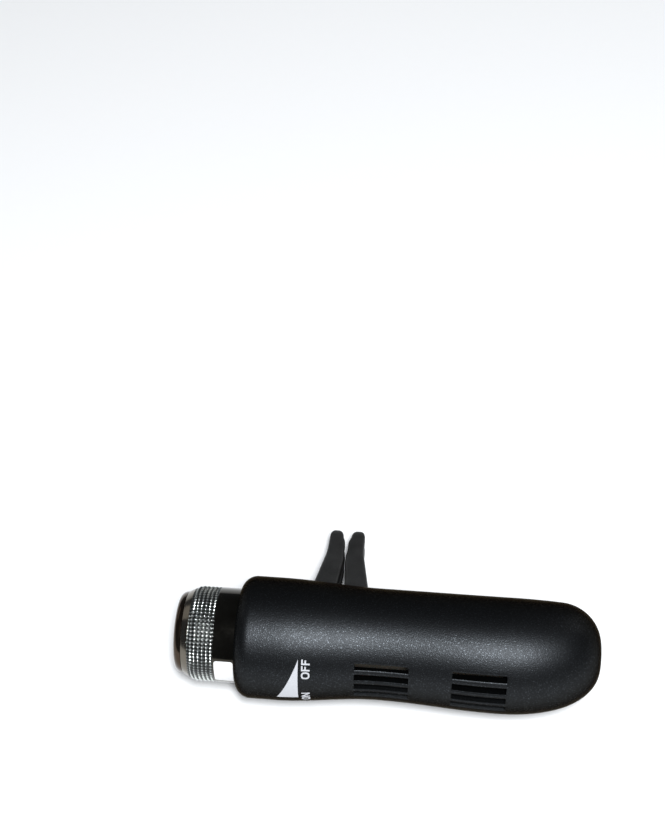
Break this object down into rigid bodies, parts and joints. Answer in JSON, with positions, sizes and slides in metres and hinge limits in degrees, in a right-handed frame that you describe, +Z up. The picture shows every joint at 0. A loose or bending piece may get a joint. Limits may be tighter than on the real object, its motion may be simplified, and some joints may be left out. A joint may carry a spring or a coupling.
{
  "type": "car vent perfume diffuser",
  "caption": "Slim black twist-knob scent diffuser for a car air vent, with slotted barrel, inner shutter, knurled metal knob, pull-out refill and split vane clip.",
  "frame": {"origin": "middle of the base of the bounding box, on the surface that the diffuser lies on", "axes": "+X from the knob towards the closed tail, +Y towards the clip side, +Z up; the barrel lies on its side with the finger tips of the clip touching the same surface"},
  "size_m": [0.0912, 0.047, 0.0264],
  "materials": {
    "soft_touch_black": "satin soft-touch coating with a fine sparkling grain",
    "clip_black": "matte moulded",
    "inner_black": "moulded gloss",
    "bright_chrome": "mirror plated",
    "white_mark": "opaque white print",
    "seal_rubber": "matt",
    "felt_pad": "pressed felt",
    "scent_fibre": "porous bonded fibre",
    "cartridge_plastic": "charcoal moulded",
    "screw_steel": "zinc plated"
  },
  "bodies": {
    "housing": {"outer_shell": "soft_touch_black", "mouth_ring": "inner_black", "tail_pad": "felt_pad", "clip_base": "clip_black", "clip_screw": "screw_steel"},
    "shutter": {"shutter_drum": "inner_black"},
    "knob": {"knob_core": "inner_black", "knob_skirt": "bright_chrome", "index_mark": "white_mark", "knurled_ring": "bright_chrome", "knob_trim_ring": "bright_chrome", "knob_disc": "bright_chrome", "knob_o_ring": "seal_rubber", "cartridge_collar": "cartridge_plastic", "cartridge_cage": "cartridge_plastic", "cartridge_plug": "cartridge_plastic", "scent_core": "scent_fibre"},
    "finger_upper_knob": {"clip_finger_upper_knob": "clip_black"},
    "finger_upper_tail": {"clip_finger_upper_tail": "clip_black"},
    "finger_lower_knob": {"clip_finger_lower_knob": "clip_black"},
    "finger_lower_tail": {"clip_finger_lower_tail": "clip_black"}
  },
  "joints": [
    {"name": "knob_turn", "type": "hinge", "parent": "housing", "child": "shutter", "pos_m": [-0.03231, -0.01037, 0.01331], "axis": [-0.9999, 0, 0.016], "range_deg": [-16, 34]},
    {"name": "knob_pull", "type": "slide", "parent": "shutter", "child": "knob", "axis": [-0.9999, 0, 0.016], "range_m": [0, 0.075]},
    {"name": "flex_upper_knob", "type": "hinge", "parent": "housing", "child": "finger_upper_knob", "pos_m": [-0.01797, 0.00413, 0.01253], "axis": [0.7178, 0.2108, 0.6636], "range_deg": [0, 3.5], "stiffness_Nm_per_rad": 0.3},
    {"name": "flex_upper_tail", "type": "hinge", "parent": "housing", "child": "finger_upper_tail", "pos_m": [-0.00517, 0.00413, 0.01233], "axis": [0.6962, -0.2108, -0.6862], "range_deg": [0, 3.5], "stiffness_Nm_per_rad": 0.3},
    {"name": "flex_lower_knob", "type": "hinge", "parent": "housing", "child": "finger_lower_knob", "pos_m": [-0.01809, 0.00186, 0.00528], "axis": [-0.6962, 0.2108, 0.6862], "range_deg": [0, 3.5], "stiffness_Nm_per_rad": 0.3},
    {"name": "flex_lower_tail", "type": "hinge", "parent": "housing", "child": "finger_lower_tail", "pos_m": [-0.00529, 0.00186, 0.00507], "axis": [-0.7178, -0.2108, -0.6636], "range_deg": [0, 3.5], "stiffness_Nm_per_rad": 0.3}
  ]
}
